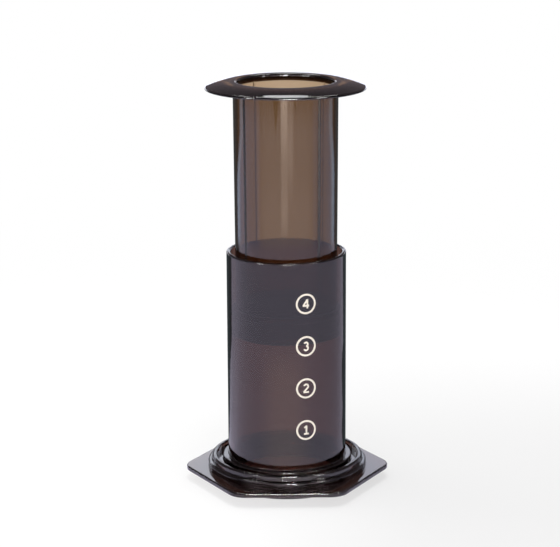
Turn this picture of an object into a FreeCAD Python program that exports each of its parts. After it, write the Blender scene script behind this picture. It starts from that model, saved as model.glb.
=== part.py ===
import FreeCAD, Part
import math
import os

# Manual coffee press, in millimetres.
# The origin is under the middle of the filter cap, where the press stands. +Z runs up the bore, and -Y is
# the side that carries the printed scale. Two flats of the six-sided foot plate face -Y and +Y.

# Chamber
BORE_R = 30.1
BARREL_R = 32.3
BARREL_TOP = 129.4
BARREL_RIM_ROUND = 0.9
BARREL_END_ROUND = 0.4
PLATE_CORNER_R = 57.1
PLATE_CORNER_ROUND = 11.0
PLATE_BOTTOM = 5.8
PLATE_TOP = 8.2
PLATE_EDGE_ROUND = 0.8
PLATE_LOWER_ROUND = 0.4
STEP_R = 43.5
STEP_TOP = 11.8
STEP_ROUND = 0.6
RING_OUTER_R = 41.3
RING_INNER_R = 38.6
RING_TOP = 15.0
RING_ROUND = 1.3
RING_INNER_ROUND = 0.8
RING_FOOT_ROUND = 0.5
MOAT_FLOOR = 11.5
MOAT_ROUND = 0.4
COLLAR_R = 35.3
COLLAR_TOP = 15.0
COLLAR_ROUND = 0.5

# Bayonet between chamber and cap
LUGS = 4
LUG_ANGLE = 24.0
LUG_R = 38.9
LUG_TOP = 8.7
NOTCH_ANGLE = 28.0
LEDGE_TOP = 7.2
TWIST = 27.0
STOP_ANGLE = 3.0
STOP_PLAY = 0.5
GROOVE_R = 39.3
GROOVE_ROOF = 9.6
GROOVE_ROUND = 0.5
CAP_CLEARANCE = 0.5
SLIDING_GAP = 0.05

# Filter cap
CAP_R = 36.3
CAP_BORE_R = 32.8
CAP_TOP = 8.9
CAP_FLOOR = 2.2
CAP_FOOT_ROUND = 0.8
CAP_RIM_ROUND = 0.5
CAP_DISH_ROUND = 0.15
CAP_HOLE_R = 1.5
CAP_HOLE_PITCH = 5.1
CAP_HOLE_FIELD_R = 27.2
GRIP_GROOVES = 48
GRIP_GROOVE_R = 1.0
GRIP_GROOVE_DEPTH = 0.5
GRIP_BOTTOM = 1.2
GRIP_TOP = 5.2

# Paper filter
PAPER_R = 31.9
PAPER_THICK = 0.2

# Plunger
TUBE_TOP_R = 28.1
TUBE_END_R = 27.35
TUBE_WALL = 2.2
TUBE_END = 98.9
TUBE_END_ROUND = 0.4
MOUTH_TOP = 221.55
MOUTH_ROUND = 1.6
BRIM_R = 42.9
BRIM_EDGE_TOP = 218.5
BRIM_EDGE_BOTTOM = 217.25
BRIM_EDGE_ROUND = 1.2
BRIM_LOWER_ROUND = 0.35
BRIM_BREAK_R = 35.0
BRIM_BREAK_Z = 221.45
BRIM_CROWN_R = 32.0
BRIM_ROOT = 218.9
BRIM_ROOT_ROUND = 1.5
RIBS = 4
RIB_FIRST_ANGLE = 40.0
RIB_WIDTH = 1.0
RIB_HEIGHT = 0.45
RIB_START = 1.0
RIB_RAMP = 1.0
RIB_RAMP_ROUND = 0.3
RIB_STOP = 1.0

# Seal, and the head of the plunger that carries it
SEAL_R = 30.04
SEAL_WAIST_R = 29.3
SEAL_BOTTOM = 83.4
SEAL_LIP = 3.6
SEAL_BEVEL = 1.4
SEAL_SLOPE = 1.2
SEAL_NOSE_ROUND = 1.0
SEAL_LIP_ROUND = 0.6
SEAL_WAIST_ROUND = 0.8
HEAD_R = 26.4
HEAD_BOTTOM = 85.9
HEAD_TOP = 88.2
HEAD_ROUND = 0.5
NECK_R = 24.1
NECK_ROUND = 0.3
NECK_SHOULDER = 0.8
FLOOR_ROUND = 1.5
NECK_FLOOR_ROUND = 1.0

# How far pieces of one moulding run into each other before they are joined, and cuts run past a face
OVERLAP = 1.0
STOP_OVERLAP = 0.5
CUT_PAST = 1.0

UP = FreeCAD.Vector(0, 0, 1)
ORIGIN = FreeCAD.Vector(0, 0, 0)


def section_point(r, z):
    """A point of a section through the axis, drawn in the XZ plane."""
    return FreeCAD.Vector(r, 0, z)


def plan_point(x, y):
    """A point of an outline seen from above."""
    return FreeCAD.Vector(x, y, 0)


def rounded_face(corners, place):
    """A flat face from corners (a, b, rounding), where a rounding above 0 is a tangent arc of that radius."""
    points = [place(a, b) for a, b, rounding in corners]
    joints = []
    for i, (a, b, rounding) in enumerate(corners):
        here = points[i]
        if rounding == 0:
            joints.append((here, None, here))
            continue
        back = (points[i - 1] - here).normalize()
        ahead = (points[(i + 1) % len(points)] - here).normalize()
        half = back.getAngle(ahead) / 2
        inward = (back + ahead).normalize()
        reach = rounding / math.tan(half)
        depth = rounding / math.sin(half) - rounding
        joints.append((here + back * reach, here + inward * depth, here + ahead * reach))
    edges = []
    for i, (start, middle, end) in enumerate(joints):
        before = joints[i - 1][2]
        if before.distanceToPoint(start) > 1e-6:
            edges.append(Part.LineSegment(before, start).toShape())
        if middle is not None:
            edges.append(Part.Arc(start, middle, end).toShape())
    return Part.Face(Part.Wire(edges))


def turned(corners):
    """A solid of revolution about the axis from a section's corners (r, z, rounding)."""
    return rounded_face(corners, section_point).revolve(ORIGIN, UP, 360)


def sector(inner_r, outer_r, bottom, top, middle_angle, width_angle):
    """A piece of a ring of rectangular section, centred on middle_angle and width_angle wide."""
    face = rounded_face(
        [(inner_r, bottom, 0), (outer_r, bottom, 0), (outer_r, top, 0), (inner_r, top, 0)],
        section_point,
    )
    piece = face.revolve(ORIGIN, UP, width_angle)
    piece.rotate(ORIGIN, UP, middle_angle - width_angle / 2)
    return piece


def around(count, first=0.0):
    """The angles, in degrees, of count equal steps round the axis."""
    return [first + 360.0 * i / count for i in range(count)]


def foot_plate():
    """The six-sided plate that rests on a mug: soft corners, a rounded upper edge, and the cap's opening."""
    corners = [
        (
            PLATE_CORNER_R * math.cos(math.radians(angle)),
            PLATE_CORNER_R * math.sin(math.radians(angle)),
            PLATE_CORNER_ROUND,
        )
        for angle in around(6)
    ]
    plate = rounded_face(corners, plan_point).extrude(UP * (PLATE_TOP - PLATE_BOTTOM))
    plate.translate(UP * PLATE_BOTTOM)
    upper = [edge for edge in plate.Edges if edge.BoundBox.ZMin > PLATE_TOP - 0.01]
    plate = plate.makeFillet(PLATE_EDGE_ROUND, upper)
    lower = [edge for edge in plate.Edges if edge.BoundBox.ZMax < PLATE_BOTTOM + 0.01]
    plate = plate.makeFillet(PLATE_LOWER_ROUND, lower)
    opening = Part.makeCylinder(CAP_R + CAP_CLEARANCE, PLATE_TOP, ORIGIN, UP)
    above_ledge = Part.makeCylinder(GROOVE_R, PLATE_TOP, UP * LEDGE_TOP, UP)
    notches = [
        sector(BARREL_R, GROOVE_R, 0, PLATE_TOP, angle - TWIST, NOTCH_ANGLE) for angle in around(LUGS)
    ]
    return plate.cut([opening, above_ledge] + notches)


def barrel():
    """The open tube with its foot: a collar, a moat, and the two-step ring that hides the bayonet."""
    barrel_end = CAP_FLOOR + PAPER_THICK + SLIDING_GAP
    return turned([
        (BORE_R, barrel_end, BARREL_END_ROUND),
        (BARREL_R, barrel_end, BARREL_END_ROUND),
        (BARREL_R, GROOVE_ROOF, GROOVE_ROUND),
        (GROOVE_R, GROOVE_ROOF, GROOVE_ROUND),
        (GROOVE_R, LEDGE_TOP - OVERLAP, 0),
        (STEP_R, LEDGE_TOP - OVERLAP, 0),
        (STEP_R, STEP_TOP, STEP_ROUND),
        (RING_OUTER_R, STEP_TOP, RING_FOOT_ROUND),
        (RING_OUTER_R, RING_TOP, RING_ROUND),
        (RING_INNER_R, RING_TOP, RING_INNER_ROUND),
        (RING_INNER_R, MOAT_FLOOR, MOAT_ROUND),
        (COLLAR_R, MOAT_FLOOR, MOAT_ROUND),
        (COLLAR_R, COLLAR_TOP, COLLAR_ROUND),
        (BARREL_R, COLLAR_TOP, COLLAR_ROUND),
        (BARREL_R, BARREL_TOP, BARREL_RIM_ROUND),
        (BORE_R, BARREL_TOP, BARREL_RIM_ROUND),
    ])


def bayonet_stops():
    """Short ribs in the groove: each lug turns between one beside its notch and one where it is locked."""
    locked_at = LUG_ANGLE / 2 + STOP_PLAY + STOP_ANGLE / 2
    open_at = -TWIST - NOTCH_ANGLE / 2 - STOP_ANGLE / 2
    places = [angle + place for angle in around(LUGS) for place in (locked_at, open_at)]
    inner_r, outer_r = CAP_R + CAP_CLEARANCE, GROOVE_R + STOP_OVERLAP
    bottom, top = LEDGE_TOP - STOP_OVERLAP, GROOVE_ROOF + STOP_OVERLAP
    return [sector(inner_r, outer_r, bottom, top, place, STOP_ANGLE) for place in places]


def chamber():
    """Barrel, ring and foot plate in one moulding, with the groove, notches and stops of the bayonet."""
    return barrel().fuse([foot_plate()] + bayonet_stops()).removeSplitter()


def cap_holes():
    """The pierced field: a triangular grid of round holes inside a circle."""
    reach = int(CAP_HOLE_FIELD_R / CAP_HOLE_PITCH) + 1
    holes = []
    for row in range(-reach, reach + 1):
        for column in range(-2 * reach, 2 * reach + 1):
            x = CAP_HOLE_PITCH * (column + row / 2)
            y = CAP_HOLE_PITCH * row * math.sqrt(3) / 2
            if math.hypot(x, y) <= CAP_HOLE_FIELD_R:
                below = FreeCAD.Vector(x, y, -CUT_PAST)
                holes.append(Part.makeCylinder(CAP_HOLE_R, CAP_FLOOR + 2 * CUT_PAST, below, UP))
    print("cap holes:", len(holes))
    return holes


def grip_grooves():
    """Upright hollows round the part of the cap that stands below the plate."""
    centre_r = CAP_R + GRIP_GROOVE_R - GRIP_GROOVE_DEPTH
    height = GRIP_TOP - GRIP_BOTTOM
    grooves = []
    for angle in around(GRIP_GROOVES):
        place = FreeCAD.Vector(
            centre_r * math.cos(math.radians(angle)), centre_r * math.sin(math.radians(angle)), GRIP_BOTTOM
        )
        grooves.append(Part.makeCylinder(GRIP_GROOVE_R, height, place, UP))
    return grooves


def filter_cap():
    """A shallow dish with a pierced floor, a grooved grip and four lugs."""
    dish = turned([
        (0, 0, 0),
        (CAP_R, 0, CAP_FOOT_ROUND),
        (CAP_R, CAP_TOP, CAP_RIM_ROUND),
        (CAP_BORE_R, CAP_TOP, CAP_RIM_ROUND),
        (CAP_BORE_R, CAP_FLOOR, CAP_DISH_ROUND),
        (0, CAP_FLOOR, 0),
    ])
    lugs = [
        sector(CAP_R - OVERLAP, LUG_R, LEDGE_TOP + SLIDING_GAP, LUG_TOP, angle, LUG_ANGLE)
        for angle in around(LUGS)
    ]
    return dish.fuse(lugs).cut(cap_holes() + grip_grooves()).removeSplitter()


def paper_filter():
    """A disc of filter paper on the floor of the cap."""
    return Part.makeCylinder(PAPER_R, PAPER_THICK, UP * CAP_FLOOR, UP)


def tube_radius(z):
    """Outer radius of the plunger's tube, which tapers towards its lower end."""
    share = (z - TUBE_END) / (MOUTH_TOP - TUBE_END)
    return TUBE_END_R + share * (TUBE_TOP_R - TUBE_END_R)


def plunger():
    """Tapered tube, round brim, and the closed neck and head that the seal grips, in one moulding."""
    body = turned([
        (0, HEAD_BOTTOM, 0),
        (HEAD_R, HEAD_BOTTOM, HEAD_ROUND),
        (HEAD_R, HEAD_TOP, HEAD_ROUND),
        (NECK_R, HEAD_TOP, NECK_ROUND),
        (NECK_R, TUBE_END, NECK_ROUND),
        (TUBE_END_R, TUBE_END, TUBE_END_ROUND),
        (tube_radius(BRIM_ROOT), BRIM_ROOT, BRIM_ROOT_ROUND),
        (BRIM_R, BRIM_EDGE_BOTTOM, BRIM_LOWER_ROUND),
        (BRIM_R, BRIM_EDGE_TOP, BRIM_EDGE_ROUND),
        (BRIM_BREAK_R, BRIM_BREAK_Z, BRIM_CROWN_R),
        (TUBE_TOP_R - TUBE_WALL, MOUTH_TOP, MOUTH_ROUND),
        (TUBE_END_R - TUBE_WALL, TUBE_END + TUBE_WALL, FLOOR_ROUND),
        (NECK_R - TUBE_WALL, TUBE_END + TUBE_WALL - NECK_SHOULDER, NECK_FLOOR_ROUND),
        (NECK_R - TUBE_WALL, HEAD_TOP, NECK_FLOOR_ROUND),
        (0, HEAD_TOP, 0),
    ])
    return body.fuse([guide_rib(angle) for angle in around(RIBS, RIB_FIRST_ANGLE)]).removeSplitter()


def guide_rib(angle):
    """A low upright rib on the tube, from its lower end to just under the brim, following the taper."""
    top = BRIM_ROOT - RIB_STOP
    low = TUBE_END + RIB_START
    low_r = tube_radius(low)
    high_r = tube_radius(top)
    side = rounded_face(
        [
            (low_r - OVERLAP, low, 0),
            (low_r + RIB_HEIGHT, low + RIB_RAMP, RIB_RAMP_ROUND),
            (high_r + RIB_HEIGHT, top, 0),
            (high_r - OVERLAP, top, 0),
        ],
        section_point,
    )
    rib = side.extrude(FreeCAD.Vector(0, RIB_WIDTH, 0))
    rib.translate(FreeCAD.Vector(0, -RIB_WIDTH / 2, 0))
    rib.rotate(ORIGIN, UP, angle)
    return rib


def plunger_seal():
    """A rubber cup pushed over the head: two lips that touch the bore, a waist between, a bevelled nose."""
    return turned([
        (0, SEAL_BOTTOM, 0),
        (SEAL_R - 2 * SEAL_BEVEL, SEAL_BOTTOM, SEAL_NOSE_ROUND),
        (SEAL_R, SEAL_BOTTOM + SEAL_BEVEL, SEAL_LIP_ROUND),
        (SEAL_R, SEAL_BOTTOM + SEAL_LIP, SEAL_WAIST_ROUND),
        (SEAL_WAIST_R, SEAL_BOTTOM + SEAL_LIP + SEAL_SLOPE, SEAL_WAIST_ROUND),
        (SEAL_WAIST_R, TUBE_END - SEAL_LIP, SEAL_WAIST_ROUND),
        (SEAL_R, TUBE_END - SEAL_LIP + SEAL_SLOPE, SEAL_WAIST_ROUND),
        (SEAL_R, TUBE_END, SEAL_LIP_ROUND),
        (NECK_R, TUBE_END, NECK_ROUND),
        (NECK_R, HEAD_TOP, NECK_ROUND),
        (HEAD_R, HEAD_TOP, HEAD_ROUND),
        (HEAD_R, HEAD_BOTTOM, HEAD_ROUND),
        (0, HEAD_BOTTOM, 0),
    ])


PIECES = {
    "chamber": chamber,
    "filter_cap": filter_cap,
    "paper_filter": paper_filter,
    "plunger": plunger,
    "plunger_seal": plunger_seal,
}

os.makedirs("parts", exist_ok=True)
for name, make in PIECES.items():
    shape = make()
    box = shape.BoundBox
    print(
        name, "solids", len(shape.Solids), "valid", shape.isValid(), "volume", round(shape.Volume),
        "x", round(box.XMin, 2), round(box.XMax, 2), "z", round(box.ZMin, 2), round(box.ZMax, 2),
    )
    shape.exportStep("parts/" + name + ".step")
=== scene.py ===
# %% [markdown]
# # A hand coffee press in smoked plastic
#
# The press is five pieces: a clear smoked barrel on a six-sided foot plate, a clear brimmed plunger inside
# it, a rubber seal on the plunger's head, a black pierced cap under the barrel, and a paper filter on the
# cap's floor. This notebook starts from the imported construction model, keeps its sizes, and gives each piece
# the surface that a camera sees.

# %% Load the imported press
import math

import bpy
import numpy as np
from mathutils import Matrix, Vector


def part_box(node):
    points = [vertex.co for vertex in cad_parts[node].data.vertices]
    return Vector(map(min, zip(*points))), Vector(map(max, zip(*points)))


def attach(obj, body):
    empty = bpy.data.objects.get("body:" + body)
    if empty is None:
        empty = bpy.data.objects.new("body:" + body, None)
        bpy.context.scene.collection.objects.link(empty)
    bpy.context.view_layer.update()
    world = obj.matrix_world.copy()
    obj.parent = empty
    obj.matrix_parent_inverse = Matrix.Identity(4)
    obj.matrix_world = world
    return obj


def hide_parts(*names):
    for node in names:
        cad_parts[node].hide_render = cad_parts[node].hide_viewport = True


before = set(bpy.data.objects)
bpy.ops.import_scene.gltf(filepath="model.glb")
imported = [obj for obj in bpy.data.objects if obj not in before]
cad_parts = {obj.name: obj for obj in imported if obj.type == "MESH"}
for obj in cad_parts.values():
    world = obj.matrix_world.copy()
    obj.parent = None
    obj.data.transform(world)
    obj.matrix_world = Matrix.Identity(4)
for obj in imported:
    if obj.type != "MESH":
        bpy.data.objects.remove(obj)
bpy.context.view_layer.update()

MM = 0.001
scene = bpy.context.scene

# %% [markdown]
# ## Sizes
#
# Every size could be typed in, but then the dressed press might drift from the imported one. So the outer sizes
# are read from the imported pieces. Only what no box shows, such as a wall, is written here: lengths in
# millimetres, angles in degrees.

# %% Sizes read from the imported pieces
low, high = {}, {}
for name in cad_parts:
    low[name], high[name] = (np.array(corner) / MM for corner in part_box(name))
    print(name, "from", low[name].round(2), "to", high[name].round(2))

BARREL_END, BARREL_TOP = low["chamber"][2], high["chamber"][2]
APOTHEM = high["chamber"][1]
BRIM_R = high["plunger"][0]
HEAD_BOTTOM = low["plunger"][2]
SEAL_R, SEAL_BOTTOM, TUBE_END = high["plunger_seal"][0], low["plunger_seal"][2], high["plunger_seal"][2]
PAPER_R, PAPER_BOTTOM, PAPER_TOP = high["paper_filter"][0], low["paper_filter"][2], high["paper_filter"][2]

# %% Sizes that no box shows
WALL = 2.2
BARREL_R = 32.3
BORE_R = BARREL_R - WALL
PLATE_CORNER_ROUND = 11.0
PLATE_CORNER_R = APOTHEM / math.cos(math.pi / 6)    # where two flats would meet in a point
PLATE_BOTTOM, PLATE_TOP = 5.8, 8.2
STEP_R, STEP_TOP = 43.5, 11.8
RING_OUTER_R, RING_INNER_R, RING_TOP = 41.3, 38.6, 15.0
MOAT_FLOOR = 11.5
COLLAR_R, COLLAR_TOP = 35.3, 15.0
OPENING_R, GROOVE_R = 36.8, 39.3
LEDGE_TOP, GROOVE_ROOF = 7.2, 9.6
LUGS, TWIST, NOTCH_ANGLE = 4, 27.0, 28.0
STOP_ANGLE, STOP_LOCKED = 3.0, 14.0
TUBE_TOP_R, TUBE_END_R = 28.1, 27.35
MOUTH_TOP, BRIM_BREAK_R, BRIM_BREAK_Z = 221.55, 35.0, 221.45
BRIM_EDGE_TOP, BRIM_EDGE_BOTTOM, BRIM_ROOT = 218.5, 217.25, 218.9
RIB_ANGLES = (38.3, 128.3, 218.3, 308.3)
RIB_WIDTH, RIB_HEIGHT = 0.7, 0.45
SEAL_WAIST_R, SEAL_LIP, SEAL_BEVEL = 29.3, 3.6, 1.4
HEAD_R, HEAD_TOP, NECK_R = 26.4, 88.2, 24.1
RUBBER_GAP = 0.05
print("bore radius", BORE_R, "plate corners at", round(PLATE_CORNER_R, 2), "before rounding")

# %% [markdown]
# ## Round sections
#
# Four of the pieces are turned: a section drawn beside the axis and swept round it. A Screw modifier could
# do that, but the foot plate is six-sided and the plunger has ribs, so each section is worked out as an
# array with one column for each direction round the axis. Radii may then differ from column to column while
# the rows still meet. Corners are rounded with true arcs, because clear plastic shows every flat facet.

# %% A section with rounded corners, for every direction at once
ARC_ERROR = 0.004   # mm between an arc and its chords
HOLD = 0.05         # mm from an arc to the row that keeps the face beside it flat


def section_rows(corners):
    """Rows of points round a closed section. A corner is (r, z, rounding), where r and z may be arrays.

    A rounded corner C between touching points A and B is the rational curve
    ((1-t)^2 A + 2 w t (1-t) C + t^2 B) / ((1-t)^2 + 2 w t (1-t) + t^2), which is an exact arc when the
    weight w is the sine of half the corner's angle. A row just outside each touching point keeps the
    neighbouring face flat. Corners on the axis only give directions: they make no rows.
    """
    columns = max(np.size(value) for corner in corners for value in corner)
    points = np.array([[np.broadcast_to(r, columns), np.broadcast_to(z, columns)] for r, z, _ in corners])
    points = points.astype(float)
    back = np.roll(points, 1, axis=0) - points
    ahead = np.roll(points, -1, axis=0) - points
    rows = []
    for (r, _, rounding), here, before, after in zip(corners, points, back, ahead):
        if np.max(r) == 0:
            continue
        before = before / np.linalg.norm(before, axis=0)
        after = after / np.linalg.norm(after, axis=0)
        if rounding == 0:
            rows += [here + HOLD * before, here, here + HOLD * after]
            continue
        half = np.arccos(np.clip((before * after).sum(axis=0), -1, 1)) / 2
        start, end = here + before * rounding / np.tan(half), here + after * rounding / np.tan(half)
        chord_turn = 2 * math.sqrt(2 * ARC_ERROR / rounding)
        pieces = max(4, math.ceil((math.pi - 2 * half.min()) / chord_turn))
        t = np.linspace(0, 1, pieces + 1)[:, None, None]
        share = 2 * np.sin(half) * t * (1 - t)
        arc = ((1 - t) ** 2 * start + share * here + t**2 * end) / ((1 - t) ** 2 + share + t**2)
        rows += [start + HOLD * before, *arc, end + HOLD * after]
    return np.array(rows)


# %% A mesh from rows and columns
def swept_piece(name, rows, angles, poles=()):
    """A closed mesh: row i, column j lies at radius r[i, j] and height z[i, j] in direction angles[j].

    Columns wrap round the axis. Rows wrap too, unless poles gives the heights on the axis where the first
    and the last row close.
    """
    count, columns = len(rows), len(angles)
    r, z = (np.broadcast_to(rows[:, axis], (count, columns)) * MM for axis in (0, 1))
    places = np.stack([r * np.cos(angles), r * np.sin(angles), z], axis=-1)
    number = np.arange(count * columns).reshape(count, columns)
    right = np.roll(number, -1, axis=1)
    upper, upper_right = np.roll(number, -1, axis=0), np.roll(right, -1, axis=0)
    quads = np.stack([number, right, upper_right, upper], axis=-1)
    faces = quads[: count - 1 if poles else count].reshape(-1, 4).tolist()
    vertices = places.reshape(-1, 3)
    if poles:
        vertices = np.vstack([vertices, [[0, 0, height * MM] for height in poles]])
        first, last = np.full(columns, count * columns), np.full(columns, count * columns + 1)
        faces += np.stack([first, right[0], number[0]], axis=-1).tolist()
        faces += np.stack([last, number[-1], right[-1]], axis=-1).tolist()
    return finished_mesh(name, vertices, faces)


def finished_mesh(name, vertices, faces):
    """A smooth-shaded object at the origin, with its place in its mesh."""
    mesh = bpy.data.meshes.new(name)
    mesh.from_pydata(np.asarray(vertices).tolist(), [], faces)
    mesh.shade_smooth()
    piece = bpy.data.objects.new(name, mesh)
    scene.collection.objects.link(piece)
    print(name, len(mesh.vertices), "vertices", len(mesh.polygons), "faces")
    return piece


# %% Directions round the axis
CHAMBER_STEP, PLUNGER_STEP, ROUND_STEP = 1.5, 1.25, 2    # degrees between columns
EDGE_OFFSETS = (-0.4, -0.15, -0.01, 0.01, 0.15, 0.4)     # degrees round each edge of the bayonet
CORNER_OFFSETS = np.arange(-7, 7.1, 0.5)                 # degrees round each corner of the plate
RIB_OFFSETS = np.linspace(-2.2, 2.2, 23)                 # half widths of a rib round its middle


def directions(step, *finer):
    """Angles in degrees, every step degrees, with the finer sets added, in rising order without doubles."""
    angles = np.concatenate([np.arange(0, 360, step), *[np.asarray(extra) % 360 for extra in finer]])
    return np.unique(angles.round(4))


def apart(angles, centre):
    """How far each angle is from centre, going the short way round, in degrees."""
    return (angles - centre + 180) % 360 - 180


# %% [markdown]
# ## The chamber
#
# Barrel, raised ring and foot plate are one clear moulding. Seen from above the plate is a hexagon with soft
# corners, and the ring hides the bayonet's groove. A Boolean could join a turned barrel to a hexagon, but its
# seam would show in clear plastic. Here the plate's radius is a formula of the direction, and the groove, the
# four notches and the stops change the section's inner corners, so one sheet of faces goes all the way round.

# %% The foot plate's outline
def hexagon(angles):
    """Radius of a hexagon with rounded corners, for angles in degrees.

    Along a flat it is apothem / cos(angle from the flat's middle). Round a corner it is the far side of a
    circle whose middle lies at distance d: d cos(a) + sqrt(rounding^2 - (d sin(a))^2).
    """
    turn = np.radians(apart(angles, 0) % 60)
    turn = np.minimum(turn, math.pi / 3 - turn)
    middle = PLATE_CORNER_R - PLATE_CORNER_ROUND / math.cos(math.pi / 6)
    touching = math.atan2(PLATE_CORNER_ROUND / 2, middle + PLATE_CORNER_ROUND * math.cos(math.pi / 6))
    inside = np.maximum(PLATE_CORNER_ROUND**2 - (middle * np.sin(turn)) ** 2, 0)
    corner = middle * np.cos(turn) + np.sqrt(inside)
    flat = APOTHEM / np.cos(math.pi / 6 - turn)
    return np.where(turn < touching, corner, flat)


# %% Where the bayonet's notches and stops are
lug_places = np.arange(LUGS) * 360 / LUGS
notch_places = lug_places - TWIST
stop_places = np.concatenate([
    lug_places + STOP_LOCKED,
    notch_places - (NOTCH_ANGLE + STOP_ANGLE) / 2,
])
notch_edges = np.concatenate([notch_places - NOTCH_ANGLE / 2, notch_places + NOTCH_ANGLE / 2])
stop_edges = np.concatenate([stop_places - STOP_ANGLE / 2, stop_places + STOP_ANGLE / 2])
plate_corners = np.add.outer(np.arange(0, 360, 60), CORNER_OFFSETS).ravel()
bayonet_edges = np.add.outer(np.concatenate([notch_edges, stop_edges]), EDGE_OFFSETS).ravel()
chamber_angles = directions(CHAMBER_STEP, plate_corners, bayonet_edges)
print("chamber columns", len(chamber_angles))


# %% The chamber's section, one column for each direction
CORNERS_APART = 0.5    # mm between two corners that would meet where the groove is filled or the ledge is cut


def chamber_section(angles):
    """Corners of the chamber's section, from the bore outwards and up, then down through ring and collar.

    At a notch the ledge draws back to the groove's wall. At a stop the groove is filled.
    """
    in_notch = (np.abs(apart(angles[:, None], notch_places)) < NOTCH_ANGLE / 2).any(axis=1)
    in_stop = (np.abs(apart(angles[:, None], stop_places)) < STOP_ANGLE / 2).any(axis=1)
    groove = np.where(in_stop, OPENING_R, GROOVE_R)
    ledge = np.where(in_notch, GROOVE_R, OPENING_R)
    ledge_outer_z = np.where(in_stop, LEDGE_TOP + CORNERS_APART, LEDGE_TOP)
    ledge_inner_z = np.where(in_notch, LEDGE_TOP - CORNERS_APART, LEDGE_TOP)
    plate = hexagon(angles)
    return [
        (BORE_R, BARREL_END, 0.4),
        (BARREL_R, BARREL_END, 0.4),
        (BARREL_R, GROOVE_ROOF, 0.5),
        (groove, GROOVE_ROOF, 0.5),
        (groove, ledge_outer_z, 0),
        (ledge, ledge_inner_z, 0),
        (ledge, PLATE_BOTTOM, 0),
        (plate, PLATE_BOTTOM, 0.4),
        (plate, PLATE_TOP, 0.8),
        (STEP_R, PLATE_TOP, 0.15),
        (STEP_R, STEP_TOP, 1.1),        # this and the collar are softer than packed: broader highlights
        (RING_OUTER_R, STEP_TOP, 0.5),
        (RING_OUTER_R, RING_TOP, 1.3),
        (RING_INNER_R, RING_TOP, 0.8),
        (RING_INNER_R, MOAT_FLOOR, 0.4),
        (COLLAR_R, MOAT_FLOOR, 0.4),
        (COLLAR_R, COLLAR_TOP, 0.8),
        (BARREL_R, COLLAR_TOP, 0.5),
        (BARREL_R, BARREL_TOP, 0.9),
        (BORE_R, BARREL_TOP, 0.9),
    ]


chamber = swept_piece(
    "clear_chamber", section_rows(chamber_section(chamber_angles)), np.radians(chamber_angles)
)
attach(chamber, "chamber")
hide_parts("chamber")

# %% [markdown]
# ## The plunger
#
# A drafted tube with a drooping brim at its mouth, and a neck and head at its closed end for the seal. Four
# low ribs run up its outside and keep it straight in the barrel. A rib could be a box pushed into the tube,
# but then the clear walls would cross inside; here the tube's own wall swells where the rib is. Soft sides
# let each rib show as one dark line, which painted shade along the rib deepens.

# %% The plunger's columns
RIB_SHOULDER = 0.7    # mm over which a rib's side rises
RIB_START, RIB_RAMP = TUBE_END + 1.0, 1.0
RIB_TOP = BRIM_ROOT - 1.0
rib_half_angle = math.degrees(RIB_WIDTH / 2 / TUBE_END_R)
plunger_angles = directions(PLUNGER_STEP, np.add.outer(RIB_ANGLES, RIB_OFFSETS * rib_half_angle).ravel())
print("plunger columns", len(plunger_angles))


# %% The plunger's section
def tube_radius(z):
    """Outer radius of the drafted tube at height z: a straight line between its two end radii."""
    return TUBE_END_R + (z - TUBE_END) / (MOUTH_TOP - TUBE_END) * (TUBE_TOP_R - TUBE_END_R)


plunger_rows = section_rows([
    (0, HEAD_BOTTOM, 0),
    (HEAD_R, HEAD_BOTTOM, 0.5),
    (HEAD_R, HEAD_TOP, 0.5),
    (NECK_R, HEAD_TOP, 0.3),
    (NECK_R, TUBE_END, 0.3),
    (TUBE_END_R, TUBE_END, 0.4),
    (tube_radius(RIB_START), RIB_START, 0),
    (tube_radius(RIB_START + RIB_RAMP), RIB_START + RIB_RAMP, 0),
    (tube_radius(BRIM_ROOT), BRIM_ROOT, 1.5),
    (BRIM_R, BRIM_EDGE_BOTTOM, 0.35),
    (BRIM_R, BRIM_EDGE_TOP, 1.2),
    (BRIM_BREAK_R, BRIM_BREAK_Z, 32),
    (TUBE_TOP_R - WALL, MOUTH_TOP, 1.6),
    (TUBE_END_R - WALL, TUBE_END + WALL, 1.5),
    (NECK_R - WALL, TUBE_END + WALL - 0.8, 1.0),
    (NECK_R - WALL, HEAD_TOP, 1.0),
    (0, HEAD_TOP, 0),
])


# %% Ribs on the plunger's tube
def with_ribs(rows, angles):
    """Swells the tube's outer rows: the rib's height, times a smooth step of the distance from its side."""
    r, z = rows[:, 0], rows[:, 1]
    aside = np.abs(apart(angles[:, None], np.array(RIB_ANGLES))).min(axis=1)
    inward = (rib_half_angle - aside) * math.radians(1) * TUBE_END_R / RIB_SHOULDER + 0.5
    side = np.clip(inward, 0, 1)
    rise = np.clip((z - RIB_START) / RIB_RAMP, 0, 1)
    rib_r = tube_radius(z) + RIB_HEIGHT * rise * (3 * side**2 - 2 * side**3)
    outer = (r > tube_radius(z) - WALL / 2) & (z > RIB_START) & (z < RIB_TOP)
    ribbed = np.where(outer, np.maximum(r, rib_r), r)
    return np.stack([ribbed, np.broadcast_to(z, ribbed.shape)], axis=1)


plunger = swept_piece(
    "clear_plunger",
    with_ribs(plunger_rows, plunger_angles),
    np.radians(plunger_angles),
    poles=(HEAD_BOTTOM, HEAD_TOP),
)
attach(plunger, "plunger")
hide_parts("plunger")

# %% [markdown]
# ## The seal and the paper
#
# The seal is a rubber cup with two lips and a waist, pushed over the plunger's head. Its inside is drawn a
# hair larger than the head: where two faces share a place, a renderer can't tell which it meets first. The
# paper is a plain disc that lies on the cap's floor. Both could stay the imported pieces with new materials,
# but swept again their edges are rounder.

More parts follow.
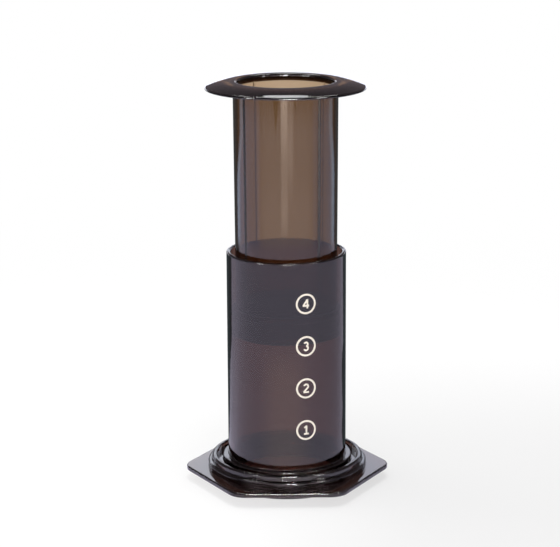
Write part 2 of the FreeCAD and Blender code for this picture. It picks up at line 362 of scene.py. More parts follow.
# %% The seal
seal_rows = section_rows([
    (0, SEAL_BOTTOM, 0),
    (SEAL_R - SEAL_BEVEL * 2, SEAL_BOTTOM, 1.0),
    (SEAL_R, SEAL_BOTTOM + SEAL_BEVEL, 0.6),
    (SEAL_R, SEAL_BOTTOM + SEAL_LIP, 0.8),
    (SEAL_WAIST_R, SEAL_BOTTOM + SEAL_LIP + 1.2, 0.8),
    (SEAL_WAIST_R, TUBE_END - SEAL_LIP, 0.8),
    (SEAL_R, TUBE_END - SEAL_LIP + 1.2, 0.8),
    (SEAL_R, TUBE_END - RUBBER_GAP, 0.6),
    (NECK_R + RUBBER_GAP, TUBE_END - RUBBER_GAP, 0.3),
    (NECK_R + RUBBER_GAP, HEAD_TOP + RUBBER_GAP, 0.3),
    (HEAD_R + RUBBER_GAP, HEAD_TOP + RUBBER_GAP, 0.5),
    (HEAD_R + RUBBER_GAP, HEAD_BOTTOM - RUBBER_GAP, 0.5),
    (0, HEAD_BOTTOM - RUBBER_GAP, 0),
])
round_angles = directions(ROUND_STEP)
seal = swept_piece(
    "rubber_seal", seal_rows, np.radians(round_angles), poles=(SEAL_BOTTOM, HEAD_BOTTOM - RUBBER_GAP)
)
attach(seal, "plunger")
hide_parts("plunger_seal")

# %% The paper filter
PAPER_EDGE = 0.06
paper_rows = section_rows([
    (0, PAPER_BOTTOM, 0),
    (PAPER_R, PAPER_BOTTOM, PAPER_EDGE),
    (PAPER_R, PAPER_TOP, PAPER_EDGE),
    (0, PAPER_TOP, 0),
])
paper = swept_piece("round_paper", paper_rows, np.radians(round_angles), poles=(PAPER_BOTTOM, PAPER_TOP))
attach(paper, "filter_cap")
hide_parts("paper_filter")

# %% [markdown]
# ## The printed scale
#
# Four numerals, each in a ring, are printed on the barrel's front. Text objects could draw them, but no font
# has quite their plain strokes. Ink has a thickness, so each stroke is a thin band laid along a path on the
# barrel: the path's points are written flat, in millimetres across and up from the mark's middle, and wrapped
# round the barrel at the end. Strokes that cross differ a little in thickness, so that no two faces share a
# place.

# %% A stroke of ink on the barrel
INK_TOP, INK_ROOT, INK_STEP = 0.04, -0.03, 0.006
MARK_ANGLE = math.radians(-90 + 18.0)    # the scale stands 18 degrees to the right of the front
MARK_HEIGHTS = (37.4, 60.7, 84.0, 107.2)
MARK_RING_R, MARK_LINE, RING_POINTS = 5.05, 1.05, 72
NUMERAL_LINE = 0.95
SHARP_FROM = 40    # degrees between two faces from which their edge stays sharp


def on_barrel(across, up, above, height):
    """Wraps flat places round the barrel: the angle is the distance across over the barrel's radius."""
    angle = MARK_ANGLE + across / BARREL_R
    r = (BARREL_R + above) * MM
    return np.stack([r * np.cos(angle), r * np.sin(angle), (height + up) * MM], axis=-1)


def stroke(path, line, layer, height, closed=False):
    """Vertices and faces of a band of rectangular section, line wide, along a path of (across, up) points.

    The band's sides lie at path plus or minus half the line times the path's normal, which is its
    direction turned a quarter: (-dy, dx).
    """
    path = np.asarray(path, float)
    ahead = np.roll(path, -1, axis=0) - np.roll(path, 1, axis=0) if closed else np.gradient(path, axis=0)
    ahead /= np.linalg.norm(ahead, axis=1)[:, None]
    normal = np.stack([-ahead[:, 1], ahead[:, 0]], axis=1)
    top = INK_TOP + layer * INK_STEP
    sides, levels = np.array([1, -1, -1, 1]) * line / 2, np.array([INK_ROOT, INK_ROOT, top, top])
    flat = path[:, None] + normal[:, None] * sides[None, :, None]
    vertices = on_barrel(flat[..., 0], flat[..., 1], np.broadcast_to(levels, flat.shape[:2]), height)
    number = np.arange(len(path) * 4).reshape(-1, 4)
    after, right = np.roll(number, -1, axis=0), np.roll(number, -1, axis=1)
    quads = np.stack([number, right, np.roll(after, -1, axis=1), after], axis=-1)
    if closed:
        return vertices.reshape(-1, 3), quads.reshape(-1, 4)
    ends = np.stack([number[0, ::-1], number[-1]])
    return vertices.reshape(-1, 3), np.vstack([quads[:-1].reshape(-1, 4), ends])


# %% The numerals as strokes
def line_path(start, end, points=14):
    """Points on a straight line: start plus t times the way to the end."""
    t = np.linspace(0, 1, points)[:, None]
    return np.array(start) + t * (np.array(end) - np.array(start))


def arc_path(middle, radius, start, end, points=28):
    """Points on an arc: middle plus radius times (cos, sin) of angles from start to end, in degrees."""
    angle = np.radians(np.linspace(start, end, points))
    return np.array(middle) + radius * np.stack([np.cos(angle), np.sin(angle)], axis=1)


NUMERALS = [
    [
        line_path((0.1, 2.5), (0.1, -2.5)),
        line_path((-1.15, 1.35), (0.3, 2.25)),
        line_path((-1.3, -2.1), (1.45, -2.1)),
    ],
    [
        arc_path((0, 1.05), 1.15, 165, -38),
        line_path((1.2, 0.65), (-1.3, -1.95)),
        line_path((-1.55, -2.1), (1.6, -2.1)),
    ],
    [
        arc_path((-0.05, 1.1), 1.0, 155, -90),
        arc_path((-0.05, -1.05), 1.15, 90, -155),
    ],
    [
        line_path((0.75, 2.5), (0.75, -2.5)),
        line_path((0.6, 2.2), (-1.5, -0.95)),
        line_path((-1.8, -1.0), (1.75, -1.0)),
    ],
]


# %% Rings and numerals as one printed piece
def printed_scale():
    """All strokes joined into one mesh, the lowest numeral first."""
    vertices, faces = [], []
    ring = arc_path((0, 0), MARK_RING_R, 0, 360 - 360 / RING_POINTS, RING_POINTS)
    for height, numeral in zip(MARK_HEIGHTS, NUMERALS):
        strokes = [stroke(ring, MARK_LINE, 0, height, closed=True)]
        strokes += [stroke(path, NUMERAL_LINE, layer, height) for layer, path in enumerate(numeral)]
        for places, quads in strokes:
            faces += (quads + len(vertices)).tolist()
            vertices += places.tolist()
    piece = finished_mesh("printed_scale", vertices, faces)
    piece.data.set_sharp_from_angle(angle=math.radians(SHARP_FROM))
    return piece


marks = printed_scale()
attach(marks, "chamber")

# %% [markdown]
# ## Finishes
#
# A finish is a network of nodes. Writing it as sums keeps it readable: a wire is one output of a node, and
# each operator on wires adds the Math node that does it. Every other kind of node comes from one method.
# Patterns read Object coordinates, which stay on the piece, because every piece sits at the origin.

# %% Wires and finishes
class Wire:
    """One output of a node. Adding, subtracting and multiplying wires adds Math nodes."""

    def __init__(self, finish, socket):
        self.finish, self.socket = finish, socket

    def output(self, name):
        """Another output of the same node."""
        return Wire(self.finish, self.socket.node.outputs[name])

    def math(self, operation, *values):
        """One Math node with these values."""
        return self.finish.node("Math", {"operation": operation}, dict(enumerate(values)))

    def __add__(self, other):
        return self.math("ADD", self, other)

    def __radd__(self, other):
        return self.math("ADD", other, self)

    def __sub__(self, other):
        return self.math("SUBTRACT", self, other)

    def __rsub__(self, other):
        return self.math("SUBTRACT", other, self)

    def __mul__(self, other):
        return self.math("MULTIPLY", self, other)

    def __rmul__(self, other):
        return self.math("MULTIPLY", other, self)


class Finish:
    """The nodes of a material or a world."""

    def __init__(self, owner):
        owner.use_nodes = True
        self.tree = owner.node_tree
        self.tree.nodes.clear()

    def node(self, kind, settings=None, sockets=None):
        """Adds a node of this kind: first its settings, then the values or wires of its sockets."""
        made = self.tree.nodes.new("ShaderNode" + kind)
        for key, value in (settings or {}).items():
            setattr(made, key, value)
        for key, value in (sockets or {}).items():
            if isinstance(value, Wire):
                self.tree.links.new(value.socket, made.inputs[key])
            else:
                made.inputs[key].default_value = value
        return Wire(self, made.outputs[0]) if made.outputs else None

    def place(self):
        """Object coordinates, in metres."""
        return self.node("TexCoord").output("Object")

    def axes(self):
        """The same place as three wires: x, y and z."""
        parts = self.node("SeparateXYZ", None, {0: self.place()})
        return [parts.output(name) for name in "XYZ"]

    def noise(self, size, detail=2.0, stretch=(1, 1, 1)):
        """Noise from 0 to 1 with blobs about size millimetres across, drawn out along an axis by stretch."""
        scale = tuple(1 / (size * MM * by) for by in stretch)
        place = self.node("Mapping", None, {"Vector": self.place(), "Scale": scale})
        return self.node("TexNoise", None, {"Vector": place, "Scale": 1.0, "Detail": detail})

    def step(self, value, start, end):
        """0 below start, 1 above end, and a smooth rise between."""
        settings = {"interpolation_type": "SMOOTHSTEP"}
        return self.node("MapRange", settings, {"Value": value, "From Min": start, "From Max": end})

    def blend(self, share, first, second):
        """A colour that goes from first to second as share goes from 0 to 1."""
        mix = self.node("Mix", {"data_type": "RGBA"}, {0: share, 6: first, 7: second})
        return mix.output(2)

    def bump(self, height, depth, strength=1.0):
        """A bump whose full height is depth millimetres."""
        sockets = {"Height": height, "Distance": depth * MM, "Strength": strength}
        return self.node("Bump", None, sockets)


def material(name, shader, volume=None):
    """A material from a function that is given a Finish and returns its shader."""
    made = bpy.data.materials.new(name)
    finish = Finish(made)
    sockets = {"Surface": shader(finish)}
    if volume:
        sockets["Volume"] = volume(finish)
    finish.node("OutputMaterial", None, sockets)
    return made


# %% [markdown]
# ## Smoked plastic
#
# The colour of smoked plastic isn't on its surface but inside it: light loses a share of its strength for
# each millimetre it travels, most in the blue. So one wall looks amber, two look brown, and an edge, where
# the line of sight runs along the wall, is nearly black. A tinted surface could not do this. A Volume
# Absorption does, if the walls are closed bodies of the real thickness. The density is worked out from the
# share of red, green and blue light that one wall lets through: share = exp(-absorption * wall). The surface
# adds little: faint flow and wiping marks, a few specks, and on the plunger's ribs a rougher face with
# painted shade, dark lines laid along the ribs, most on the front two.

# %% Clear plastic, coloured by depth
CLEAR_IOR = 1.56
# The last colour is painted shade: the dark that is laid along the plunger's ribs.
CLEAR, MILKY, PAINTED_RIB_SHADE = (1, 1, 1, 1), (0.93, 0.92, 0.9, 1), (0.14, 0.13, 0.12, 1)


def smoked(passes):
    """Volume absorption that lets these shares of red, green and blue through one wall."""
    absorbed = [-math.log(share) / (WALL * MM) for share in passes]
    density = max(absorbed)
    colour = (*(1 - each / density for each in absorbed), 1)
    return lambda finish: finish.node("VolumeAbsorption", None, {"Color": colour, "Density": density})


def polished(finish, painted_shade_and_dullness=0.0):
    """Polished moulded plastic: faint flow marks up the walls, fine wiping marks, a few dull specks.

    Where painted_shade_and_dullness rises to 1 the plastic is rougher, and its colour is darkened as painted
    shade, so it lets less light through.
    """
    flow = finish.noise(size=9.0, detail=1.0, stretch=(1, 1, 6))
    wiping = finish.noise(size=0.35, stretch=(1, 1, 14))
    specks = finish.step(finish.noise(size=1.6, detail=3.0), 0.68, 0.74)
    clear = finish.blend(specks * 0.5 + flow * 0.3, CLEAR, MILKY)
    return finish.node("BsdfPrincipled", None, {
        # painted shade: where the mask rises the base colour turns dark, and the roughness rises
        "Base Color": finish.blend(painted_shade_and_dullness, clear, PAINTED_RIB_SHADE),
        "Roughness": 0.02 + wiping * 0.03 + specks * 0.05 + painted_shade_and_dullness * 0.1,
        "IOR": CLEAR_IOR,
        "Transmission Weight": 1.0,
        "Normal": finish.bump(flow, depth=0.003),
    })


# %% Painted shade and dullness on the plunger's ribs
RIB_SHADE_HALF = (1.8, 2.8)      # degrees from a rib's middle between which the painted shade ends
RIB_SHADE_SKIN = (1.2, 0.8)      # mm under the tube's outside between which it starts
RIB_SHADE_FADE = 2.0             # mm over which it starts and ends along a rib
BACK_RIB_SHADE_CUT = 0.75          # how much less shade is painted on the back ribs
FRONT_TO_BACK = 5.0         # mm either side of the axis over which that changes
MIDWAY = 45.0               # degrees from a rib to midway between it and the next


def polished_with_shaded_ribs(finish):
    """Polished plastic, rougher on each rib, with painted shade along it, darkest on the front two.

    A rib comes every quarter turn, so the angle from the nearest rib's middle is the angle from the first
    rib, folded back and forth at midway.
    """
    x, y, z = finish.axes()
    turn = y.math("ARCTAN2", y, x) * math.degrees(1) - RIB_ANGLES[0]
    aside = turn.math("PINGPONG", turn, MIDWAY)
    radius = x.math("SQRT", x * x + y * y)
    outside = finish.step(radius, *((TUBE_END_R - depth) * MM for depth in RIB_SHADE_SKIN))
    along = finish.step(z, RIB_START * MM, (RIB_START + RIB_SHADE_FADE) * MM)
    along = along - finish.step(z, (RIB_TOP - RIB_SHADE_FADE) * MM, RIB_TOP * MM)
    front_share = 1 - finish.step(y, -FRONT_TO_BACK * MM, FRONT_TO_BACK * MM) * BACK_RIB_SHADE_CUT
    # the mask of painted shade along each rib, strongest on the front two
    return polished(finish, (1 - finish.step(aside, *RIB_SHADE_HALF)) * outside * along * front_share)


# %% The two clear plastics
CHAMBER_PASSES = (0.28, 0.17, 0.15)    # shares of red, green and blue through one wall
PLUNGER_PASSES = (0.51, 0.37, 0.245)

chamber_plastic = material("smoked plastic of the chamber", polished, smoked(CHAMBER_PASSES))
plunger_plastic = material(
    "smoked plastic of the plunger", polished_with_shaded_ribs, smoked(PLUNGER_PASSES)
)
chamber.data.materials.append(chamber_plastic)
plunger.data.materials.append(plunger_plastic)
print("absorption per metre", [round(-math.log(share) / (WALL * MM)) for share in CHAMBER_PASSES])

# %% [markdown]
# ## Rubber, black plastic, paper and ink
#
# The other finishes are opaque. Each could be one flat colour, but real ones vary, and a pattern of noise in
# millimetres says how: rubber has a powdery bloom, the cap the fine grain of a spark-eroded mould, filter
# paper its crinkles and fibres, and ink an uneven thickness.

# %% Colours of the opaque finishes
RUBBER, RUBBER_BLOOM = (0.018, 0.018, 0.021, 1), (0.035, 0.034, 0.037, 1)
BLACK, BLACK_WORN = (0.014, 0.014, 0.016, 1), (0.024, 0.023, 0.024, 1)
CREPE, CREPE_FIBRE = (0.80, 0.76, 0.68, 1), (0.88, 0.85, 0.79, 1)
INK, INK_PALE = (0.74, 0.67, 0.56, 1), (0.81, 0.76, 0.66, 1)


# %% Opaque finishes
def rubber(finish):
    """Dark satin rubber with a paler bloom in patches."""
    bloom = finish.noise(size=2.5, detail=4.0)
    grain = finish.noise(size=0.25)
    return finish.node("BsdfPrincipled", None, {
        "Base Color": finish.blend(bloom, RUBBER, RUBBER_BLOOM),
        "Roughness": 0.42 + bloom * 0.2,
        "Normal": finish.bump(grain, depth=0.03),
    })


def satin_black(finish):
    """Black moulded plastic with a fine grain, a little smoother where it is handled."""
    grain = finish.noise(size=0.3, detail=3.0)
    wear = finish.step(finish.noise(size=7.0, detail=4.0), 0.5, 0.75)
    return finish.node("BsdfPrincipled", None, {
        "Base Color": finish.blend(wear, BLACK, BLACK_WORN),
        "Roughness": 0.38 + grain * 0.12 - wear * 0.08,
        "Normal": finish.bump(grain, depth=0.02),
    })


def crepe(finish):
    """Soft paper: crinkles drawn out along X, and short fibres."""
    crinkle = finish.noise(size=0.9, detail=3.0, stretch=(3, 0.6, 1))
    fibre = finish.noise(size=0.3, detail=5.0)
    return finish.node("BsdfPrincipled", None, {
        "Base Color": finish.blend(fibre, CREPE, CREPE_FIBRE),
        "Roughness": 0.85 + fibre * 0.1,
        "Normal": finish.bump(crinkle + fibre * 0.4, depth=0.08),
    })


def cream_ink(finish):
    """Cream ink of slightly uneven thickness."""
    patch = finish.noise(size=0.6, detail=3.0)
    return finish.node("BsdfPrincipled", None, {
        "Base Color": finish.blend(patch, INK, INK_PALE),
        "Roughness": 0.4 + patch * 0.15,
        "Normal": finish.bump(patch, depth=0.01),
    })


seal.data.materials.append(material("rubber of the seal", rubber))
paper.data.materials.append(material("filter paper", crepe))
marks.data.materials.append(material("cream ink", cream_ink))
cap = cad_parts["filter_cap"]
for place in cap.material_slots:
    place.material = material("satin black of the cap", satin_black)
print("cap slots", len(cap.material_slots), "triangles", len(cap.data.polygons))

# %% [markdown]
# ## Camera
#
# A camera placed by eye would put no outline quite where the photograph has it. So this one was fitted to the
# outlines of the brim, the barrel's rim and the foot plate. It looks down from a little over a metre away.

# %% Camera
PHOTO_WIDTH = 560
CAMERA_PLACE = (-3.42, -1072.64, 379.1)   # mm, before the turn about the axis
CAMERA_PITCH, CAMERA_ROLL, CAMERA_TURN = (math.radians(angle) for angle in (-13.766, -0.29, -0.46))
CAMERA_FOCAL_PIXELS = 2040.58
SENSOR_WIDTH = 36.0                       # mm

camera = bpy.data.objects.new("camera", bpy.data.cameras.new("camera"))
scene.collection.objects.link(camera)
camera.data.sensor_width = SENSOR_WIDTH
camera.data.lens = CAMERA_FOCAL_PIXELS * SENSOR_WIDTH / PHOTO_WIDTH
camera.matrix_world = (
    Matrix.Rotation(CAMERA_TURN, 4, "Z")
    @ Matrix.Translation(Vector(CAMERA_PLACE) * MM)
    @ Matrix.Rotation(math.pi / 2 + CAMERA_PITCH, 4, "X")
    @ Matrix.Rotation(CAMERA_ROLL, 4, "Z")
)
scene.camera = camera
scene.view_settings.view_transform = "Standard"
print("lens", round(camera.data.lens, 2), "mm")

# %% [markdown]
# ## The floor
#
# The press stands on a white sheet. Lamps could be turned up until the sheet looks white, but they would
# bleach the press as well. So the floor glows by itself, and only a share of it is lit and shaded, which
# keeps the shadow. Light Path tells the kinds of ray apart: the camera sees the sheet white, with a painted
# shadow, a soft grey, at the front right, and a ray that comes through clear plastic sees it darker, as
# painted shade that is darkest under the plate, because the photograph shows it darker there. From below
# the floor is clear, so that the cap can be looked at.

# %% Sizes and levels of the floor
FLOOR_REACH = 8.0
FLOOR_GAP = 0.00002           # metres below the cap, so that no two faces share a place
FLOOR_COLOUR = (0.9, 0.9, 0.9, 1)
WHITE = (1, 1, 1)
NEAR_GLOW = 0.75              # share of its own light near the press; the rest is lit and shaded
PLAIN_R = (0.25, 0.7)         # metres from the axis between which that share rises to 1
PAINTED_SHADOW_SHARE = 0.16             # how much darker the painted shadow at the front right is
PAINTED_SHADOW_X, PAINTED_SHADOW_Y, PAINTED_SHADOW_R = (-0.06, 0.08), (0.0, 0.3), (0.2, 0.5)    # metres between which it starts and ends
TABLE_THROUGH = 0.55          # how bright the floor looks through clear plastic: painted shade, below white
TABLE_DEFLECTED = 0.2         # the same, for light that was also mirrored inside the plastic
UNDER_PLATE_SHADOW = 0.7             # how much darker it looks under the plate: a painted shadow
UNDER_PLATE_SHADOW_R = (0.045, 0.065)    # metres from the axis between which that ends
THROUGH_WHITE_R = (1.33, 1.43)    # metres from the axis between which it turns white through plastic too


# %% The floor's finish
def around(finish):
    """Distance from the axis in metres, and direction in degrees: 0 at the front, positive towards +X."""
    x, y, _ = finish.axes()
    away = finish.node("VectorMath", {"operation": "LENGTH"}, {0: finish.place()}).output("Value")
    return away, x.math("ARCTAN2", x, y * -1.0) * math.degrees(1)


def glowing(finish, share, colour):
    """Emission that goes from black to colour as share goes from 0 to 1. A colour may be brighter than 1."""
    shown = finish.blend(share, (0, 0, 0, 1), (*colour, 1))
    return finish.node("Emission", None, {"Color": shown, "Strength": 1.0})


def floor_white(finish):
    """Partly shaded near the press, plain white further off, painted shadow at the front right, painted shade
    through plastic, clear from below.
    """
    away, _ = around(finish)
    x, y, _ = finish.axes()
    ray = finish.node("LightPath")
    camera_ray, through = ray.output("Is Camera Ray"), ray.output("Is Transmission Ray")
    mirrored = ray.output("Glossy Depth")
    deflected = through * mirrored.math("MINIMUM", mirrored, 1.0)
    # painted shade: through clear plastic the floor glows less, and least under the plate
    shaded = TABLE_THROUGH - (1 - finish.step(away, *UNDER_PLATE_SHADOW_R)) * UNDER_PLATE_SHADOW * TABLE_THROUGH
    level = 1 - through * (1 - finish.step(away, *THROUGH_WHITE_R)) * (1 - shaded)
    level = level - deflected * (level - TABLE_DEFLECTED)
    # a painted shadow: the floor glows less at the front right, for camera rays
    painted_shadow = finish.step(x, *PAINTED_SHADOW_X) * (1 - finish.step(y, *PAINTED_SHADOW_Y)) * (1 - finish.step(away, *PAINTED_SHADOW_R))
    level = level - painted_shadow * PAINTED_SHADOW_SHARE * camera_ray
    glow = through.math("MAXIMUM", through, NEAR_GLOW + finish.step(away, *PLAIN_R) * (1 - NEAR_GLOW))
    seen = camera_ray + through + ray.output("Is Glossy Ray")
    share = seen.math("MINIMUM", seen, 1.0) * glow
    lit = finish.node("BsdfDiffuse", None, {"Color": FLOOR_COLOUR})
    above = finish.node("MixShader", None, {0: share, 1: lit, 2: glowing(finish, level, WHITE)})
    below = finish.node("NewGeometry").output("Backfacing")
    return finish.node("MixShader", None, {0: below, 1: above, 2: finish.node("BsdfTransparent")})


# %% The floor itself
def sheet(name, corners, finish):
    """A flat stage piece from its corners."""
    mesh = bpy.data.meshes.new(name)
    mesh.from_pydata(corners, [], [tuple(range(len(corners)))])
    mesh.materials.append(finish)
    piece = bpy.data.objects.new(name, mesh)
    scene.collection.objects.link(piece)
    return piece


def square(reach, height):
    """Corners of a level square round the axis, reach metres to each side."""
    return [(x * reach, y * reach, height) for x, y in ((-1, -1), (1, -1), (1, 1), (-1, 1))]


sheet("floor", square(FLOOR_REACH, -FLOOR_GAP), material("white floor", floor_white))
print("floor", FLOOR_REACH * 2, "metres across")

# %% [markdown]
# ## What the plastic mirrors
#
# The bands up a polished barrel are its surroundings: pale paper in front, daylight from both sides, one
# bright streak ahead and a dark room. They could be panels that stand round the press, but an upright wall
# that is seen from above mirrors what lies on the table. So one sheet just over the floor, hidden from every
# ray but reflections, glows by distance and direction. Behind stands a low backdrop, which the foot plate's
# flat top mirrors and the brim's flat top, higher up, does not.

# %% Where the table's parts begin and end
REFLECTION_LIFT, REFLECTION_REACH = 0.0005, 6.0
# Directions are in degrees from the front, and distances in metres from the axis. A value that changes with
# distance is (start, (change, from, to), ...).
NEAR_LEFT = (-138, (9, 0.22, 0.32))
NEAR_RIGHT = (118.7, (9.5, 0.09, 0.16), (8.3, 0.24, 0.31))
FAR_LEFT = (-136, (17, 0.8, 1.15))
FAR_RIGHT = (133, (-12, 0.85, 1.2))
NEAR_TO_FAR = (0.56, 0.62)
DAYLIGHT_FROM = 60
DAYLIGHT_RIM_LEFT, DAYLIGHT_RIM_RIGHT = 12, 14
BEHIND_FROM, BEHIND_R = (150, 170), (1.4, 1.6)
WARM_SPAN, STREAK_SPAN, STREAK_SIDE_SPAN = (-35, 28, 22), (-11, 3, 2), (3, 15, 3)    # start, end, softness
PAPER_SOFT, FAR_SOFT, DAYLIGHT_SOFT, WEDGE_SOFT = 4, 12, 6, 2
STREAK_SIDE_R = (0.7, 1.0)

# %% How the table's parts fade
RIGHT_DIMMER, RIGHT_DIM_FROM = 0.4, (30, 120)
LEFT_DIMMER, LEFT_DIM_FROM = 0.3, (-130, -104)
WARM_FADING = (1, (-1, 0.24, 0.36))
PAPER_FADING = (1, (-0.15, 0.7, 0.9), (-0.6, 1.05, 1.4))
DAYLIGHT_FADING = (1, (-0.6, 1.1, 1.45))
WIDE_WEDGE, WIDE_WEDGE_HALF, WIDE_WEDGE_R = -22, (0, (9, 1.0, 1.5)), (1.05, 1.15)
THIN_WEDGE, THIN_WEDGE_HALF, THIN_WEDGE_R = 20, (0, (4, 1.15, 1.5)), (1.15, 1.25)
STREAK_LEVEL = (0, (0.32, 0.58, 0.7), (0.75, 0.85, 1.35))

# %% Colours of the table's parts, as light
ROOM = (0.07, 0.09, 0.1)
PAPER_NEAR, PAPER_FAR, WARM_NEAR = (1.08, 0.98, 1.25), (1.22, 1.12, 1.2), (0.45, 0.3, 0.15)
DAYLIGHT_LEFT, DAYLIGHT_RIGHT, DAYLIGHT_RIM = (0.62, 0.74, 1.12), (0.4, 0.55, 0.85), (0.3, 0.38, 0.4)
STREAK, STREAK_SIDE = (3.4, 2.8, 2.3), (1.1, 0.9, 0.75)


# %% The table's finish
def table_reflection(finish):
    """A sum of soft-edged sectors: each is its span of directions times its fading, in its colour."""
    away, side = around(finish)

    def beyond(near, far):
        """0 nearer than near, 1 further away than far."""
        return finish.step(away, near, far)

    def between(start, end, soft):
        """1 from one direction to the other, with soft edges, and 0 elsewhere."""
        return finish.step(side, start - soft, start + soft) - finish.step(side, end - soft, end + soft)

    def changing(start, *changes):
        """The start, plus each change times how far beyond its two distances."""
        for change, near, far in changes:
            start = start + beyond(near, far) * change
        return start

    def wedge(middle, half, reach):
        """A sector round this direction, whose half width grows with the distance."""
        half = changing(*half)
        return between(middle - half, middle + half, WEDGE_SOFT) * beyond(*reach)

    far, near = beyond(*NEAR_TO_FAR), 1 - beyond(*NEAR_TO_FAR)
    left, right = changing(*FAR_LEFT), changing(*FAR_RIGHT)
    near_span = between(changing(*NEAR_LEFT), changing(*NEAR_RIGHT), PAPER_SOFT)
    dim = 1 - finish.step(side, *RIGHT_DIM_FROM) * RIGHT_DIMMER
    dim = dim - (1 - finish.step(side, *LEFT_DIM_FROM)) * LEFT_DIMMER
    wedges = wedge(WIDE_WEDGE, WIDE_WEDGE_HALF, WIDE_WEDGE_R)
    wedges = wedges + wedge(THIN_WEDGE, THIN_WEDGE_HALF, THIN_WEDGE_R)
    ahead = between(-DAYLIGHT_FROM, DAYLIGHT_FROM, FAR_SOFT) * (1 - wedges)
    left_rim = between(left, left + DAYLIGHT_RIM_LEFT, PAPER_SOFT)
    right_rim = between(right - DAYLIGHT_RIM_RIGHT, right, PAPER_SOFT)
    behind_start, behind_end = BEHIND_FROM
    right_behind = finish.step(side, behind_start, behind_end)
    left_behind = 1 - finish.step(side, -behind_end, -behind_start)
    daylight = changing(*DAYLIGHT_FADING) * far
    parts = [
        (near_span * dim * near, PAPER_NEAR),
        (between(*WARM_SPAN) * changing(*WARM_FADING), WARM_NEAR),
        (ahead * far * changing(*PAPER_FADING), PAPER_FAR),
        (between(left, -DAYLIGHT_FROM, DAYLIGHT_SOFT) * daylight, DAYLIGHT_LEFT),
        (between(DAYLIGHT_FROM, right, DAYLIGHT_SOFT) * daylight, DAYLIGHT_RIGHT),
        ((left_rim + right_rim) * far, DAYLIGHT_RIM),
        ((left_behind + right_behind) * beyond(*BEHIND_R), PAPER_NEAR),
        (between(*STREAK_SPAN) * changing(*STREAK_LEVEL), STREAK),
        (between(*STREAK_SIDE_SPAN) * beyond(*STREAK_SIDE_R), STREAK_SIDE),
    ]
    shown = finish.node("Emission", None, {"Color": (*ROOM, 1), "Strength": 1.0})
    for share, colour in parts:
        shown = finish.node("AddShader", None, {0: shown, 1: glowing(finish, share, colour)})
    return shown


# %% The table that only reflections see
def only_reflected(piece):
    """Hides a stage piece from every ray but reflections."""
    piece.visible_camera = piece.visible_diffuse = piece.visible_transmission = False
    piece.visible_shadow = piece.visible_volume_scatter = False


table_corners = square(REFLECTION_REACH, REFLECTION_LIFT)
only_reflected(sheet("table_reflection", table_corners, material("table", table_reflection)))
print("table seen in reflections,", REFLECTION_LIFT / MM, "mm above the floor")

# %% The low backdrop behind
BACKDROP_Y, BACKDROP_HALF, BACKDROP_FOOT, BACKDROP_TOP = 0.6, 0.5, 0.17, 0.27
BACKDROP_LEFT, BACKDROP_RIGHT, BACKDROP_BLEND = (1.95, 2.02, 2.25, 1), (1.52, 1.58, 1.85, 1), 0.1
backdrop_corners = [
    (-BACKDROP_HALF, BACKDROP_Y, BACKDROP_FOOT),
    (BACKDROP_HALF, BACKDROP_Y, BACKDROP_FOOT),
    (BACKDROP_HALF, BACKDROP_Y, BACKDROP_TOP),
    (-BACKDROP_HALF, BACKDROP_Y, BACKDROP_TOP),
]


def backdrop_light(finish):
    """Cool light, a little stronger on the left."""
    x, _, _ = finish.axes()
    share = finish.step(x, -BACKDROP_BLEND, BACKDROP_BLEND)
    colour = finish.blend(share, BACKDROP_LEFT, BACKDROP_RIGHT)
    return finish.node("Emission", None, {"Color": colour, "Strength": 1.0})


only_reflected(sheet("low_backdrop", backdrop_corners, material("low backdrop", backdrop_light)))
print("backdrop", BACKDROP_HALF * 2, "metres wide,", BACKDROP_Y, "metres behind")

# %% [markdown]
# ## The sky
#
# A world of one grey would light everything alike and put a haze on the brim. This one depends on the kind of
# ray: the camera sees white, dull surfaces get a soft even light, and reflections see a dim sky, slightly
# mauve, with one brighter band low in front for the rounded edges that face it.

# %% The sky
# Spans and heights are parts of a unit vector: 0.3 is 17 degrees above the horizon.
SKY_LOW, SKY_HIGH, SKY_RISE = 0.2, 0.22, (0.3, 0.6)
SKY_FRONT, FRONT_SPAN, FRONT_TOP = 1.5, (0.3, 0.7), (0.35, 0.45)
SKY_SOFT = 0.65
SKY_TINT, SKY_WHITE = (1.0, 0.84, 0.92, 1), (1, 1, 1, 1)

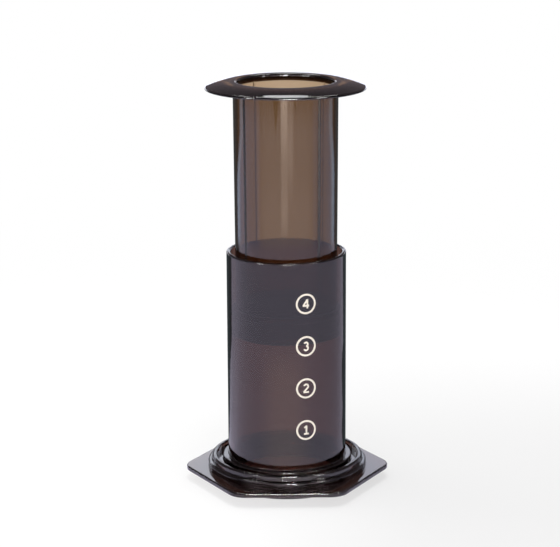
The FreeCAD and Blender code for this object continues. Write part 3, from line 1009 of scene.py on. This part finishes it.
world = bpy.data.worlds.new("sky")
scene.world = world
sky = Finish(world)
ray = sky.node("LightPath")
camera_ray, diffuse_ray = ray.output("Is Camera Ray"), ray.output("Is Diffuse Ray")
towards = sky.node("SeparateXYZ", None, {0: sky.node("TexCoord").output("Generated")})
height, front = towards.output("Z"), towards.output("Y") * -1.0
level = SKY_LOW + sky.step(height, *SKY_RISE) * (SKY_HIGH - SKY_LOW)
level = level + sky.step(front, *FRONT_SPAN) * (1 - sky.step(height, *FRONT_TOP)) * SKY_FRONT
level = level.math("MAXIMUM", level, diffuse_ray * SKY_SOFT)
level = level.math("MAXIMUM", level, camera_ray)
tint = sky.blend(diffuse_ray + camera_ray, SKY_TINT, SKY_WHITE)
background = sky.node("Background", None, {"Color": tint, "Strength": level})
sky.node("OutputWorld", None, {"Surface": background})
print("sky nodes", len(sky.tree.nodes))

# %% [markdown]
# ## Soft boxes
#
# The short bright bars on each rounded edge are mirrored lamps: three soft boxes in front, and one behind and
# above. A small lamp would give points in place of bars. The four are hidden from dull surfaces, and the two
# that light those surfaces are hidden from reflections, so that highlights and shadow can be set one at a
# time. The camera sees no box, and neither does a ray through clear plastic.

# %% A soft box
LAMP_AIM = (0, 0, 0.1)


def soft_box(name, place, size, level):
    """A lamp of this size that faces the press, as bright in a mirror as level: power = level * pi * area."""
    lamp = bpy.data.lights.new(name, "AREA")
    lamp.shape, (lamp.size, lamp.size_y) = "RECTANGLE", size
    lamp.energy = level * math.pi * size[0] * size[1]
    box = bpy.data.objects.new(name, lamp)
    scene.collection.objects.link(box)
    box.location = place
    box.rotation_euler = (Vector(place) - Vector(LAMP_AIM)).to_track_quat("Z", "Y").to_euler()
    box.visible_camera = box.visible_transmission = False
    return box


# %% Name, place, size and level of each soft box, in metres
MIRRORED_BOXES = [
    ("front_middle", (0.05, -1.08, 0.67), (0.44, 0.26), 60.0),
    ("front_left", (-0.87, -0.68, 0.6), (0.32, 0.26), 15.0),
    ("front_right", (0.87, -0.68, 0.6), (0.32, 0.26), 15.0),
    ("behind", (0.0, 0.4, 1.0), (0.8, 0.42), 5.0),
]
LIGHTING_BOXES = [
    ("overhead", (0.03, -0.2, 1.15), (0.27, 0.6), 14.0),
    ("side_light", (-0.75, 0.35, 1.1), (0.5, 0.5), 3.0),
]
for described in MIRRORED_BOXES:
    soft_box(*described).visible_diffuse = False
for described in LIGHTING_BOXES:
    soft_box(*described).visible_glossy = False
print("soft boxes", len(MIRRORED_BOXES) + len(LIGHTING_BOXES))
